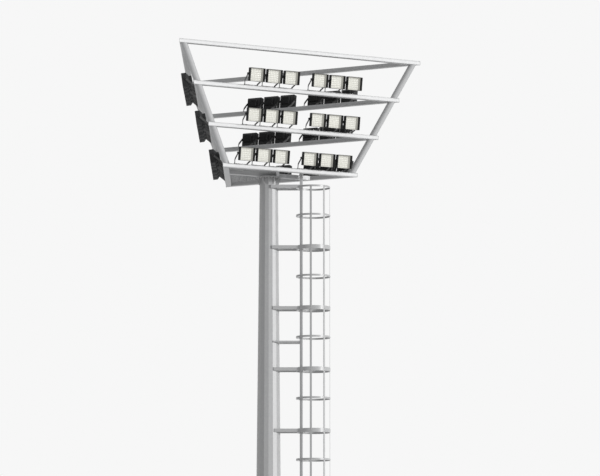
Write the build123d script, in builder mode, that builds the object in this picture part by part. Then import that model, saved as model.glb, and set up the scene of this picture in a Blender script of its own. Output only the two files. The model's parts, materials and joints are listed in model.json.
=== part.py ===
from build123d import *
import os
from math import atan, cos, degrees, pi, radians, sin, sqrt, tan

# Floodlight pylon: a folded steel mast on a bolted base plate, an inverted
# pyramid of rails that carries rows of floodlights, and a caged ladder.
# Millimetres, +Z up. The origin is the centre of the base plate's underside.

# base plate and its stiffeners
base_dia = 900
base_thick = 40
anchor_circle_dia = 780
anchor_hole_dia = 39
anchor_count = 12
rib_count = 12
rib_thick = 14
rib_height = 260
rib_rim_gap = 18
rib_top_width = 30

# mast, across its corners
mast_sides = 16
mast_base_dia = 618
mast_top_dia = 382
mast_top_z = 12315

# service door near the ground, on one flat of the mast
door_width = 86
door_height = 420
door_sill_z = 620
door_thick = 8
door_corner = 24
door_frame_width = 12
door_frame_depth = 12
door_seat = 10
door_play = 2

# head plate and its brackets on top of the mast
head_plate_dia = 530
head_plate_thick = 20
head_rib_height = 150
head_rib_toe = 12

# lamp rings: three rails each, level 0 is the platform, level 3 the crown
ring_count = 4
ring_pitch = 795
first_ring_side = 3228
ring_side_step = 843
ring_drift = 45
rail_height = 85
rail_depth = 120
post_dia = 136

# platform
beam_width = 110
trimmer_width = 60
trimmer_x = 190
grating_thick = 30
grating_drop = 4

# ladder
ladder_width = 440
stile_depth = 62
stile_thick = 20
rung_pitch = 280
rung_side = 26
ladder_bottom_z = 300
rung_margin = 120

# ladder cage
cage_x = 930
cage_dia = 716
hoop_thick = 6
hoop_let_in = 4
hoop_height = 40
tall_hoop_height = 84
folds_per_panel = 3
strap_width = 42
strap_thick = 6
strap_angle = 49
bracket_top_z = 12116
bracket_pitch = 1280
bracket_count = 9
caged_brackets = 8
mid_hoop_drop = 600

# brackets between mast and ladder
arm_height = 70
arm_thick = 40
arm_start_x = 60
top_arm_start_x = -120
splice_z = 8850
splice_height = 34
splice_start_x = 0

# floodlights
rows_per_face = 3
lamps_per_bank = 3
bank_spacing = 1505
lamp_pitch = 410
row_shift = (-20, 80, 45)
lamp_width = 345
lamp_height = 280
hood_depth = 98
hood_wall = 5
shoulder_depth = 46
gear_depth = 64
gear_width = 204
gear_height = 150
recess_depth = 92
glass_thick = 8
glass_gap = 0.3
pivot_below_top = 125
pivot_behind_front = 78
pivot_above_rail = 200
pivot_outboard = 210
lamp_tilt = 8

# yokes
boss_across = 30
boss_length = 12
boss_gap = 0.3
leg_thick = 5
leg_width = 40
leg_spread = 290
ear_margin = 20
elbow_back = 122
elbow_drop = 118
foot_width = 44
foot_length = 330
foot_thick = 6
foot_inset = 26

os.makedirs("parts", exist_ok=True)

faces = {"front": 300, "rear": 60, "left": 180}
corners = {"front_left": 240, "right": 0, "rear_left": 120}
levels = range(ring_count)
lamp_levels = range(rows_per_face)

platform_z = mast_top_z + head_plate_thick + rail_height


def ring_z(level):
    """Height of a ring's top face."""
    return platform_z + level * ring_pitch


def ring_side(level):
    return first_ring_side + level * ring_side_step


def ring_x(level):
    """The rings drift away from the ladder as they rise."""
    return -level * ring_drift


def face_plane(angle, level, rise=0):
    """Outer top edge of a rail: x runs along it, y points in."""
    reach = ring_side(level) / (2 * sqrt(3))
    out_x = cos(radians(angle))
    out_y = sin(radians(angle))
    origin = (ring_x(level) + reach * out_x, reach * out_y, ring_z(level) + rise)
    return Plane(origin=origin, x_dir=(-out_y, out_x, 0), z_dir=(0, 0, 1))


def corner_point(angle, level):
    """Where the centre lines of two rails of a ring meet."""
    reach = ring_side(level) / sqrt(3) - rail_depth
    spot_x = ring_x(level) + reach * cos(radians(angle))
    spot_y = reach * sin(radians(angle))
    return Vector(spot_x, spot_y, ring_z(level))


def save(piece, name):
    piece.part.label = name
    export_step(piece.part, f"parts/{name}.step")


def mast_flat(height):
    """Distance from the mast's axis to its flats."""
    share = (height - base_thick) / (mast_top_z - base_thick)
    across = mast_base_dia + (mast_top_dia - mast_base_dia) * share
    return across / 2 * cos(pi / mast_sides)


# base plate, cut to the mast's sides, with its anchor holes
with BuildPart() as base_plate:
    with BuildSketch():
        RegularPolygon(base_dia / 2, mast_sides)
        with PolarLocations(anchor_circle_dia / 2, anchor_count):
            Circle(anchor_hole_dia / 2, mode=Mode.SUBTRACT)
    extrude(amount=base_thick)
save(base_plate, "base_plate")

# mast: a folded taper with a shallow seat for the service door
door_turn = -pi / 2 + pi / mast_sides
door_mid_z = door_sill_z + door_height / 2
door_reach = mast_flat(door_sill_z)
door_plane = Plane(
    origin=(door_reach * cos(door_turn), door_reach * sin(door_turn), door_mid_z),
    x_dir=(-sin(door_turn), cos(door_turn), 0),
    z_dir=(cos(door_turn), sin(door_turn), 0),
)
mast_length = mast_top_z - base_thick
mast_slope = atan((mast_flat(base_thick) - mast_flat(mast_top_z)) / mast_length)
with BuildPart() as mast:
    with BuildSketch(Plane.XY.offset(base_thick)):
        RegularPolygon(mast_base_dia / 2, mast_sides)
    extrude(amount=mast_length, taper=degrees(mast_slope))
    with BuildSketch(door_plane.offset(-door_seat)):
        RectangleRounded(door_width, door_height, door_corner)
    extrude(amount=2 * door_seat, mode=Mode.SUBTRACT)

# service door in a raised frame
with BuildPart() as door_frame:
    with BuildSketch(door_plane.offset(-door_frame_depth)):
        frame_width = door_width + 2 * door_frame_width
        frame_height = door_height + 2 * door_frame_width
        RectangleRounded(frame_width, frame_height, door_corner + door_frame_width)
        RectangleRounded(door_width, door_height, door_corner, mode=Mode.SUBTRACT)
    extrude(amount=door_frame_depth + door_thick)
    add(mast.part, mode=Mode.SUBTRACT)
with BuildPart() as service_door:
    with BuildSketch(door_plane.offset(-door_seat)):
        leaf_width = door_width - 2 * door_play
        leaf_height = door_height - 2 * door_play
        RectangleRounded(leaf_width, leaf_height, door_corner - door_play)
    extrude(amount=door_seat + door_thick - door_play)
save(mast, "mast")
save(door_frame, "door_frame")
save(service_door, "service_door")

# stiffening ribs round the foot, between the anchor holes
half_step = 180 / rib_count
with BuildPart() as base_ribs:
    for index in range(rib_count):
        angle = half_step + index * 360 / rib_count
        with BuildSketch(Plane.XZ.rotated((0, 0, angle))):
            with BuildLine():
                Polyline(
                    (mast_top_dia / 4, base_thick),
                    (base_dia / 2 - rib_rim_gap, base_thick),
                    (base_dia / 2 - rib_rim_gap, base_thick + rib_top_width),
                    (mast_base_dia / 2 + rib_top_width, base_thick + rib_height),
                    (mast_top_dia / 4, base_thick + rib_height),
                    close=True,
                )
            make_face()
        extrude(amount=rib_thick / 2, both=True)
    add(mast.part, mode=Mode.SUBTRACT)
save(base_ribs, "base_ribs")

# head plate on the mast, with brackets under it, one of them facing front
with BuildPart() as head_plate:
    with BuildSketch(Plane.XY.offset(mast_top_z)):
        RegularPolygon(head_plate_dia / 2, mast_sides)
    extrude(amount=head_plate_thick)
save(head_plate, "head_plate")

with BuildPart() as head_ribs:
    for index in range(rib_count):
        with BuildSketch(Plane.XZ.rotated((0, 0, index * 360 / rib_count))):
            with BuildLine():
                Polyline(
                    (mast_top_dia / 4, mast_top_z),
                    (head_plate_dia / 2 - head_rib_toe, mast_top_z),
                    (head_plate_dia / 2 - head_rib_toe, mast_top_z - head_rib_toe),
                    (mast_top_dia / 2 + head_rib_toe, mast_top_z - head_rib_height),
                    (mast_top_dia / 4, mast_top_z - head_rib_height),
                    close=True,
                )
            make_face()
        extrude(amount=rib_thick / 2, both=True)
    add(mast.part, mode=Mode.SUBTRACT)
save(head_ribs, "head_ribs")

# rails: one node for each face, mitred where two faces meet
for face, angle in faces.items():
    with BuildPart() as rails:
        for level in levels:
            plane = face_plane(angle, level, -rail_height)
            side = ring_side(level)
            inner_side = side - 2 * rail_depth / tan(radians(30))
            with BuildSketch(plane):
                with BuildLine():
                    Polyline(
                        (-side / 2, 0),
                        (side / 2, 0),
                        (inner_side / 2, rail_depth),
                        (-inner_side / 2, rail_depth),
                        close=True,
                    )
                make_face()
            extrude(amount=rail_height)
    save(rails, f"{face}_rails")

# corner posts: a sloping tube, cut where the rings pass through
for corner, angle in corners.items():
    foot = corner_point(angle, 0)
    crown = corner_point(angle, ring_count - 1)
    slope = crown - foot
    with BuildPart() as post:
        with BuildSketch(Plane(origin=foot - slope * 0.1, z_dir=slope)):
            Circle(post_dia / 2)
        extrude(amount=slope.length * 1.2)
        split(bisect_by=Plane.XY.offset(ring_z(0)), keep=Keep.TOP)
        crown_under_z = ring_z(ring_count - 1) - rail_height
        split(bisect_by=Plane.XY.offset(crown_under_z), keep=Keep.BOTTOM)
        for level in range(1, ring_count - 1):
            middle = corner_point(angle, level)
            with Locations((middle.X, middle.Y, ring_z(level))):
                Box(
                    6 * post_dia,
                    6 * post_dia,
                    rail_height,
                    align=(Align.CENTER, Align.CENTER, Align.MAX),
                    mode=Mode.SUBTRACT,
                )
    save(post, f"{corner}_post")

# platform beams: one across through the mast, one trimmer beside the hatch
inner_reach = ring_side(0) / (2 * sqrt(3)) - rail_depth
beam_base = Plane.XY.offset(platform_z - rail_height)


def inner_triangle():
    """Corners of the space inside the platform ring."""
    spots = []
    for angle in corners.values():
        turn = radians(angle)
        spots.append((2 * inner_reach * cos(turn), 2 * inner_reach * sin(turn)))
    return spots


with BuildPart() as cross_beam:
    with BuildSketch(beam_base):
        Rectangle(6 * inner_reach, beam_width, rotation=30)
        with BuildLine():
            Polyline(*inner_triangle(), close=True)
        make_face(mode=Mode.INTERSECT)
    extrude(amount=rail_height)
save(cross_beam, "cross_beam")

with BuildPart() as trimmer_beam:
    with BuildSketch(beam_base):
        with Locations((trimmer_x, 0)):
            Rectangle(trimmer_width, 6 * inner_reach)
        with BuildLine():
            Polyline(*inner_triangle(), close=True)
        make_face(mode=Mode.INTERSECT)
    extrude(amount=rail_height)
    add(cross_beam.part, mode=Mode.SUBTRACT)
save(trimmer_beam, "trimmer_beam")

# gratings fill the floor on the mast's side of the trimmer
with BuildPart() as platform_gratings:
    with BuildSketch(Plane.XY.offset(platform_z - grating_drop - grating_thick)):
        with BuildLine():
            Polyline(*inner_triangle(), close=True)
        make_face()
    extrude(amount=grating_thick)
    split(bisect_by=Plane.YZ.offset(trimmer_x - trimmer_width / 2), keep=Keep.BOTTOM)
    add(cross_beam.part, mode=Mode.SUBTRACT)
save(platform_gratings, "platform_gratings")

# cage hoops: tall ones at the brackets, plain ones between
bracket_levels = [bracket_top_z - index * bracket_pitch for index in range(bracket_count)]
hoop_levels = []
for height in bracket_levels[:caged_brackets]:
    hoop_levels.append((height, tall_hoop_height))
    hoop_levels.append((height - mid_hoop_drop, hoop_height))
fold_angle = strap_angle / folds_per_panel
hoop_outer = cage_dia / 2
hoop_inner = hoop_outer - hoop_thick
hoop_flat = hoop_inner * cos(radians(fold_angle / 2))
cage_top_z = bracket_top_z + tall_hoop_height / 2
cage_bottom_z = hoop_levels[-1][0] - hoop_height / 2
stile_back_x = cage_x - sqrt(hoop_inner**2 - (ladder_width / 2) ** 2) - hoop_let_in
ladder_x = stile_back_x + stile_depth / 2


def band(height, outer, inner, middle, sweep, folds):
    """A strip folded about the cage's axis, in plan."""
    outer_spots = []
    inner_spots = []
    for index in range(folds + 1):
        turn = radians(middle + (index / folds - 0.5) * sweep)
        outer_spots.append((outer * cos(turn), outer * sin(turn)))
        inner_spots.append((inner * cos(turn), inner * sin(turn)))
    with BuildSketch(Plane.XY.offset(height).move(Location((cage_x, 0, 0)))) as strip:
        with BuildLine():
            Polyline(*outer_spots, *reversed(inner_spots), close=True)
        make_face()
    return strip.sketch


# brackets: box arms from the mast to the stiles, and a pair of splice bars
arm_y = (ladder_width - arm_thick) / 2
with BuildPart() as ladder_brackets:
    for side in (-1, 1):
        for height in bracket_levels:
            start_x = top_arm_start_x if height == bracket_top_z else arm_start_x
            with Locations((start_x, side * arm_y, height)):
                Box(
                    stile_back_x - start_x,
                    arm_thick,
                    arm_height,
                    align=(Align.MIN, Align.CENTER, Align.CENTER),
                )
        with Locations((splice_start_x, side * arm_y, splice_z)):
            Box(
                stile_back_x - splice_start_x,
                arm_thick,
                splice_height,
                align=(Align.MIN, Align.CENTER, Align.CENTER),
            )
    add(mast.part, mode=Mode.SUBTRACT)
save(ladder_brackets, "ladder_brackets")

# hoop parts behind the ladder, let into the stiles and cut by the arms
back_sweep = 360 - 5 * strap_angle
back_folds = round(back_sweep / fold_angle)
with BuildPart() as cage_ladder_arcs:
    for height, tall in hoop_levels:
        foot_z = height - tall / 2
        strip = band(foot_z, hoop_outer, hoop_inner, 180, back_sweep, back_folds)
        extrude(strip, amount=tall)
    add(ladder_brackets.part, mode=Mode.SUBTRACT)
save(cage_ladder_arcs, "cage_ladder_arcs")

# cage panels: a vertical strap with its share of every hoop
panels = {
    "cage_outer_panel": 0,
    "cage_front_panel": -strap_angle,
    "cage_rear_panel": strap_angle,
    "cage_front_edge": -2 * strap_angle,
    "cage_rear_edge": 2 * strap_angle,
}
for panel_name, angle in panels.items():
    with BuildPart() as panel:
        for height, tall in hoop_levels:
            foot_z = height - tall / 2
            strip = band(
                foot_z, hoop_outer, hoop_inner, angle, strap_angle, folds_per_panel
            )
            extrude(strip, amount=tall)
        with BuildSketch(Plane.XY.offset(cage_bottom_z)):
            with Locations(Location((cage_x, 0, 0), angle)):
                with Locations((hoop_flat - strap_thick / 2, 0)):
                    Rectangle(strap_thick, strap_width)
        extrude(amount=cage_top_z - cage_bottom_z)
    save(panel, panel_name)

# ladder: two stiles and square rungs
ladder_height = platform_z - ladder_bottom_z
rung_count = int((ladder_height - 2 * rung_margin) / rung_pitch) + 1
with BuildPart() as ladder:
    for side in (-1, 1):
        stile_y = side * (ladder_width - stile_thick) / 2
        with Locations((ladder_x, stile_y, ladder_bottom_z)):
            Box(
                stile_depth,
                stile_thick,
                ladder_height,
                align=(Align.CENTER, Align.CENTER, Align.MIN),
            )
    for index in range(rung_count):
        rung_z = ladder_bottom_z + rung_margin + index * rung_pitch
        with Locations((ladder_x, 0, rung_z)):
            Box(rung_side, ladder_width - stile_thick, rung_side)
    add(cage_ladder_arcs.part, mode=Mode.SUBTRACT)
save(ladder, "ladder")

# one floodlight about its pivot: x along the rail, y back, z up
lamp_mid_z = pivot_below_top - lamp_height / 2
glass_y = recess_depth - pivot_behind_front
lamp_front = Plane(
    origin=(0, -pivot_behind_front, lamp_mid_z),
    x_dir=(-1, 0, 0),
    z_dir=(0, 1, 0),
)
with BuildPart() as lamp:
    with BuildSketch(lamp_front):
        Rectangle(lamp_width, lamp_height)
    extrude(amount=hood_depth + shoulder_depth)
    chamfer(lamp.faces().sort_by(Axis.Y)[-1].edges(), shoulder_depth)
    with BuildSketch(lamp_front.offset(hood_depth + shoulder_depth)):
        Rectangle(gear_width, gear_height)
    extrude(amount=gear_depth)
    with BuildSketch(lamp_front):
        Rectangle(lamp_width - 2 * hood_wall, lamp_height - 2 * hood_wall)
    extrude(amount=recess_depth, mode=Mode.SUBTRACT)
    for side in (-1, 1):
        with BuildSketch(Plane.YZ.offset(side * lamp_width / 2)):
            Rectangle(boss_across, boss_across)
        extrude(amount=side * (boss_length - boss_gap))

with BuildPart() as glass:
    with BuildSketch(Plane.XZ.offset(-glass_y)):
        with Locations((0, lamp_mid_z)):
            glass_width = lamp_width - 2 * (hood_wall + glass_gap)
            glass_height = lamp_height - 2 * (hood_wall + glass_gap)
            Rectangle(glass_width, glass_height)
    extrude(amount=glass_thick)

# its yoke: a foot on the rail and two bent straps up to the pivot
ear_x = lamp_width / 2 + boss_length + leg_thick / 2
elbow_reach = sqrt(elbow_back**2 + elbow_drop**2)
ear_ahead = ear_margin * elbow_back / elbow_reach
ear_rise = ear_margin * elbow_drop / elbow_reach
foot_y = foot_inset + pivot_outboard
foot_z = -pivot_above_rail
with BuildPart() as yoke:
    with Locations((0, foot_y, foot_z)):
        Box(
            foot_length,
            foot_width,
            foot_thick,
            align=(Align.CENTER, Align.CENTER, Align.MIN),
        )
    for side in (-1, 1):
        ear_spot = (side * ear_x, -ear_ahead, ear_rise)
        elbow_spot = (side * ear_x, elbow_back, -elbow_drop)
        foot_spot = (side * leg_spread / 2, foot_y, foot_z)
        with BuildLine() as spine:
            Polyline(ear_spot, elbow_spot, foot_spot)
        with BuildSketch(Plane(origin=ear_spot, x_dir=(1, 0, 0), z_dir=spine.line % 0)):
            Rectangle(leg_thick, leg_width)
        sweep(path=spine.line, transition=Transition.RIGHT)
    split(bisect_by=Plane.XY.offset(foot_z), keep=Keep.TOP)


def lamp_places(angle, level, tilt):
    """Pivots of a row of lamps, turned to face out and tilted down."""
    base = face_plane(angle, level).location
    middle = (lamps_per_bank - 1) / 2
    places = []
    for bank in (-0.5, 0.5):
        for index in range(lamps_per_bank):
            along = row_shift[level] + bank * bank_spacing
            along += (index - middle) * lamp_pitch
            spot = Location((along, -pivot_outboard, pivot_above_rail), (tilt, 0, 0))
            places.append(base * spot)
    return places


for face, angle in faces.items():
    with BuildPart() as yokes:
        for level in lamp_levels:
            with Locations(*lamp_places(angle, level, 0)):
                add(yoke.part)
    save(yokes, f"{face}_yokes")
    for level in lamp_levels:
        with BuildPart() as lamps:
            with Locations(*lamp_places(angle, level, lamp_tilt)):
                add(lamp.part)
        save(lamps, f"{face}_lamps_{level + 1}")
        with BuildPart() as glasses:
            with Locations(*lamp_places(angle, level, lamp_tilt)):
                add(glass.part)
        save(glasses, f"{face}_glass_{level + 1}")
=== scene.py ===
import json
import math

import bpy
import numpy as np
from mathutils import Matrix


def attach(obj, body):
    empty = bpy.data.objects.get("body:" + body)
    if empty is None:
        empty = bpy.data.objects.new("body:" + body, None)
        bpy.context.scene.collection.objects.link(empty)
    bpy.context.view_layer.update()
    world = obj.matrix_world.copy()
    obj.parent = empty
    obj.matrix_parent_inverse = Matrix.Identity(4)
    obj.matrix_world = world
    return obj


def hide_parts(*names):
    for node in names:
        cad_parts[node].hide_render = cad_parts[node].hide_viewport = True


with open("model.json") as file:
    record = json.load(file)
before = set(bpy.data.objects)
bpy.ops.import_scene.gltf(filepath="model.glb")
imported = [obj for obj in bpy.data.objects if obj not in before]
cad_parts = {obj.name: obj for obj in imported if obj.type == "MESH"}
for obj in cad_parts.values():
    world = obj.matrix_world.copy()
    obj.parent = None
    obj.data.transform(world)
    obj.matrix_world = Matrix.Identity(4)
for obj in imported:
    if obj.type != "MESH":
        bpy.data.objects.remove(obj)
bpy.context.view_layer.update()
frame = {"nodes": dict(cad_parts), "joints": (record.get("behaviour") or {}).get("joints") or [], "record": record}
print("frame loaded,", len(frame["nodes"]), "nodes")


# every surface here is (corners, groups), where a group is an array of faces with equal counts


# a skin over a stack of closed outlines: each corner is joined to the one beside it and to the
# next outline, wound so that the stack's direction is outward at its last cap
def skinOver(stack):
    stack = np.array(stack)
    rows, columns = stack.shape[:2]
    index = np.arange(rows * columns).reshape(rows, columns)
    beside = np.roll(index, -1, axis=1)
    quads = np.stack([index[:-1], beside[:-1], beside[1:], index[1:]], axis=-1).reshape(-1, 4)
    return stack.reshape(-1, 3), [quads, index[0][::-1][None], index[-1][None]]


# several surfaces taken together: their corners follow one another and their faces are numbered on
def gathered(surfaces):
    corners = np.concatenate([surface[0] for surface in surfaces])
    starts = np.cumsum([0] + [len(surface[0]) for surface in surfaces])
    groups = [group + start for (_, parts), start in zip(surfaces, starts) for group in parts]
    return corners, groups


# one surface at every placement in a list of 4 by 4 matrices: each corner times each matrix
def repeated(surface, places):
    corners, groups = surface
    full = np.c_[corners, np.ones(len(corners))]
    copies = np.einsum("kij,nj->kni", np.array(places), full)[..., :3].reshape(-1, 3)
    steps = np.arange(len(places)) * len(corners)
    stepped = [group[None] + steps[:, None, None] for group in groups]
    return copies, [faces.reshape(-1, faces.shape[-1]) for faces in stepped]


# whole steps either side of nought
def centred(count):
    return np.arange(count) - (count - 1) / 2


# rounded rectangle: four quarter circles, each pushed out to its own corner
def roundedOutline(width, height, radius, perCorner=3):
    quarter = np.linspace(0, math.pi / 2, perCorner + 1)
    turn = quarter[None] + np.arange(4)[:, None] * math.pi / 2
    across = np.array([1, -1, -1, 1])[:, None] * (width / 2 - radius)
    along = np.array([1, 1, -1, -1])[:, None] * (height / 2 - radius)
    corners = [across + radius * np.cos(turn), along + radius * np.sin(turn)]
    return np.stack(corners, axis=-1).reshape(-1, 2)


# a flat outline raised to a height
def raised(outline, rise):
    return np.c_[outline, np.full(len(outline), rise)]


# block with softened edges: a rounded outline that pulls in by the edge at its foot and its top
def softBlock(width, depth, height, edge, radius, perCorner=2):
    stack = []
    for rise, inset in [(0, edge), (edge, 0), (height - edge, 0), (height, edge)]:
        wide, deep = width - 2 * inset, depth - 2 * inset
        outline = roundedOutline(wide, deep, radius - inset * 0.5, perCorner)
        stack.append(raised(outline, rise))
    return skinOver(stack)


# corners of a regular outline on a circle of radius one
def circle(sides):
    angle = np.arange(sides) * 2 * math.pi / sides
    return np.stack([np.cos(angle), np.sin(angle)], axis=-1)


# turned piece: a profile of (radius, height) carried round the z axis
def turned(profile, sides):
    profile = np.array(profile, float)
    flat = profile[:, 0, None, None] * circle(sides)[None]
    heights = np.broadcast_to(profile[:, 1, None, None], flat[..., :1].shape)
    return skinOver(np.dstack([flat, heights]))


# an outline carried along a path and scaled by a size at each point; its first axis stays as near
# to sideways as the path lets it
def carried(path, outline, sideways, scale=None):
    path = np.array(path, float)
    along = np.gradient(path, axis=0)
    along /= np.linalg.norm(along, axis=1, keepdims=True)
    second = np.cross(along, np.broadcast_to(np.array(sideways, float), path.shape))
    second /= np.linalg.norm(second, axis=1, keepdims=True)
    first = np.cross(second, along)
    size = np.ones(len(path)) if scale is None else scale
    spread = outline[None] * size[:, None, None]
    start = path[:, None] + spread[..., :1] * first[:, None]
    return skinOver(start + spread[..., 1:] * second[:, None])


# placement with the given x, y and z axes and origin, as the columns of a matrix
def placed(xAxis, yAxis, zAxis, origin):
    place = np.eye(4)
    place[:3, 0], place[:3, 1], place[:3, 2], place[:3, 3] = xAxis, yAxis, zAxis, origin
    return place


# placement that only moves
def moved(x, y, z):
    return placed((1, 0, 0), (0, 1, 0), (0, 0, 1), (x, y, z))


# the level direction at a turn
def outward(turn):
    return np.array((math.cos(turn), math.sin(turn), 0))


# placement that only turns about the z axis
def turnedAbout(turn):
    cosine, sine = math.cos(turn), math.sin(turn)
    return placed((cosine, sine, 0), (-sine, cosine, 0), (0, 0, 1), (0, 0, 0))


# z axis turned to point along a direction, with x kept level where it can be
def pointing(direction, origin):
    zAxis = np.array(direction, float) / np.linalg.norm(direction)
    level = np.array((0, 0, 1.0)) if abs(zAxis[2]) < 0.9 else np.array((1.0, 0, 0))
    xAxis = np.cross(level, zAxis)
    xAxis /= np.linalg.norm(xAxis)
    return placed(xAxis, np.cross(zAxis, xAxis), zAxis, origin)


# bolt head on its washer, standing on z = 0: six sides with a turned-off top, and with a stub the
# thread's end above it; the heights are shares of the head's own
def hexBolt(radius, height, washer, stub=0.0):
    washerEdge, washerTop = 0.18 * height, 0.22 * height
    headFoot, headEdge, headTop = 0.2 * height, 1.05 * height, 1.2 * height
    pieces = [
        turned([(washer, 0), (washer, washerEdge), (washer * 0.96, washerTop)], 20),
        turned([(radius, headFoot), (radius, headEdge), (radius * 0.88, headTop)], 6),
    ]
    if stub:
        shank, tip = radius * 0.55, radius * 0.42
        ends = [(shank, height), (shank, height + stub), (tip, height + stub * 1.2)]
        pieces.append(turned(ends, 16))
    return gathered(pieces)


# weld bead: a six-sided ridge along a run of points, swelling and shrinking by turns at each ripple
def bead(points, radius, sideways, ripple=0.012):
    points = np.array(points, float)
    lengths = np.linalg.norm(np.diff(points, axis=0), axis=1)
    along = np.concatenate([[0], np.cumsum(lengths)])
    stations = np.linspace(0, along[-1], max(3, int(along[-1] / ripple * 2) + 1))
    path = np.stack([np.interp(stations, along, points[:, axis]) for axis in range(3)], axis=-1)
    swell = 1 + 0.12 * np.cos(np.arange(len(stations)) * math.pi)
    return carried(path, radius * circle(6), sideways, swell)


# an object made from its data and put in the scene
def linked(name, data):
    thing = bpy.data.objects.new(name, data)
    bpy.context.scene.collection.objects.link(thing)
    return thing


# the surface becomes an object that rides on a body, in its slot's own finish unless another is
# named, and smooth but for edges sharper than the crease
def addPiece(name, surface, slot, stands=(), finish=None, body="pylon", crease=40):
    corners, groups = surface
    loops = np.concatenate([group.ravel() for group in groups]).astype(np.int32)
    counts = np.concatenate([np.full(len(group), group.shape[1]) for group in groups])
    starts = np.concatenate([[0], np.cumsum(counts)[:-1]]).astype(np.int32)
    mesh = bpy.data.meshes.new(name)
    mesh.vertices.add(len(corners))
    mesh.vertices.foreach_set("co", corners.astype(np.float32).ravel())
    mesh.loops.add(len(loops))
    mesh.loops.foreach_set("vertex_index", loops)
    mesh.polygons.add(len(counts))
    mesh.polygons.foreach_set("loop_start", starts)
    mesh.update(calc_edges=True)
    mesh.validate()
    mesh.shade_smooth()
    mesh.set_sharp_from_angle(angle=math.radians(crease))
    mesh.materials.append(finishes[finish or slot])
    piece = linked(name, mesh)
    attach(piece, body)
    if stands:
        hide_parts(*stands)


# a material's nodes, added and joined by short calls
class NodeTree:
    def __init__(self, name):
        self.material = bpy.data.materials.new(name)
        self.material.use_nodes = True
        self.nodes = self.material.node_tree.nodes
        self.links = self.material.node_tree.links
        self.shader = self.nodes["Principled BSDF"]
        self.where = self.nodes.new("ShaderNodeTexCoord").outputs["Object"]

    # a new node with its inputs fed and its settings made
    def add(self, kind, inputs=None, settings=None):
        node = self.nodes.new(kind)
        for key, value in (settings or {}).items():
            setattr(node, key, value)
        for key, value in (inputs or {}).items():
            self.feed(node.inputs[key], value)
        return node

    # a socket takes a link from another socket, or else a plain value
    def feed(self, socket, value):
        if isinstance(value, bpy.types.NodeSocket):
            self.links.new(value, socket)
        else:
            socket.default_value = value

    # the piece's own coordinates, each axis multiplied by its own number
    def stretched(self, scale):
        inputs = {"Vector": self.where, "Scale": scale}
        return self.add("ShaderNodeMapping", inputs).outputs[0]

    # cloudy noise from 0 to 1 over the piece
    def noise(self, scale, detail, vector=None):
        inputs = {"Vector": vector or self.where, "Scale": scale, "Detail": detail}
        return self.add("ShaderNodeTexNoise", inputs).outputs["Fac"]

    # a factor turned into a run from the first colour to the last
    def ramp(self, factor, first, last):
        node = self.add("ShaderNodeValToRGB", {"Fac": factor})
        for element, (place, colour) in zip(node.color_ramp.elements, (first, last)):
            element.position, element.color = place, colour
        return node.outputs["Color"]

    # two colours mixed by a factor, by socket number because the mix node repeats its names
    def mixed(self, factor, first, second):
        node = self.add("ShaderNodeMix", settings={"data_type": "RGBA"})
        for socket, value in zip((0, 6, 7), (factor, first, second)):
            self.feed(node.inputs[socket], value)
        return node.outputs[2]

    # a factor from 0 to 1 laid over the range from low to high
    def spread(self, factor, low, high):
        inputs = {"Value": factor, "To Min": low, "To Max": high}
        return self.add("ShaderNodeMapRange", inputs).outputs[0]

    # a fine grain on the surface, from noise
    def grained(self, scale, detail, depth, strength):
        inputs = {"Height": self.noise(scale, detail), "Distance": depth, "Strength": strength}
        bump = self.add("ShaderNodeBump", inputs)
        self.feed(self.shader.inputs["Normal"], bump.outputs[0])

    # a value for one of the shader's own sockets, named as the shader names it
    def shade(self, socket, value):
        self.feed(self.shader.inputs[socket], value)


# a grey, warmed by adding red and taking the same share of blue away
def grey(value, warmth=0.0):
    return (value * (1 + warmth), value, value * (1 - warmth), 1)


# zinc's weathering, in shares of the steel's own shade
zinc = {
    "patchDark": 0.955,
    "patchLight": 1.04,
    "patchRough": 0.02,
    "cloudScale": 1.3,
    "cloudShade": 0.9,
    "rainStretch": (26, 26, 0.55),
    "rainShade": 0.72,
}


# hot-dip galvanised steel: crystal patches from cell noise, dulled by a few clouds and washed by
# noise drawn out along z into faint streaks of rain
def galvanised(name, shade, rough, spangle, streaks, gloss=0.5):
    tree = NodeTree(name + "Galvanising")
    inputs = {"Vector": tree.where, "Scale": 1 / spangle, "Randomness": 1.0}
    crystals = tree.add("ShaderNodeTexVoronoi", inputs).outputs["Color"]
    patch = tree.add("ShaderNodeSeparateColor", {"Color": crystals}).outputs[0]
    clouds = tree.noise(zinc["cloudScale"], 4.0)
    rain = tree.noise(1.0, 5.0, tree.stretched(zinc["rainStretch"]))
    dark, light = grey(shade * zinc["patchDark"], -0.01), grey(shade * zinc["patchLight"], -0.004)
    base = tree.ramp(patch, (0.0, dark), (1.0, light))
    dull, wet = grey(shade * zinc["cloudShade"], 0.01), grey(shade * zinc["rainShade"], 0.015)
    dulled = tree.mixed(tree.spread(clouds, -0.25, 0.55), base, dull)
    washed = tree.mixed(tree.spread(rain, -streaks, streaks * 1.4), dulled, wet)
    tree.shade("Base Color", washed)
    low, high = rough - zinc["patchRough"], rough + zinc["patchRough"]
    tree.shade("Roughness", tree.spread(patch, low, high))
    tree.shade("Metallic", 0.0)
    tree.shade("Specular IOR Level", gloss)
    tree.grained(140.0, 2.0, depth=0.0006, strength=0.25)
    return tree.material


# powder coat: one colour, slightly greyer where clouds of dust settle, with an orange-peel skin
def powderCoated(name, colour, dust, rough, gloss=0.5):
    tree = NodeTree(name)
    tree.shade("Specular IOR Level", gloss)
    grime = tree.noise(5.0, 5.0)
    tree.shade("Base Color", tree.mixed(tree.spread(grime, -0.1, 0.6), colour, dust))
    tree.shade("Roughness", tree.spread(grime, rough - 0.05, rough + 0.1))
    tree.grained(260.0, 2.0, depth=0.0004, strength=0.3)
    return tree.material


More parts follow.
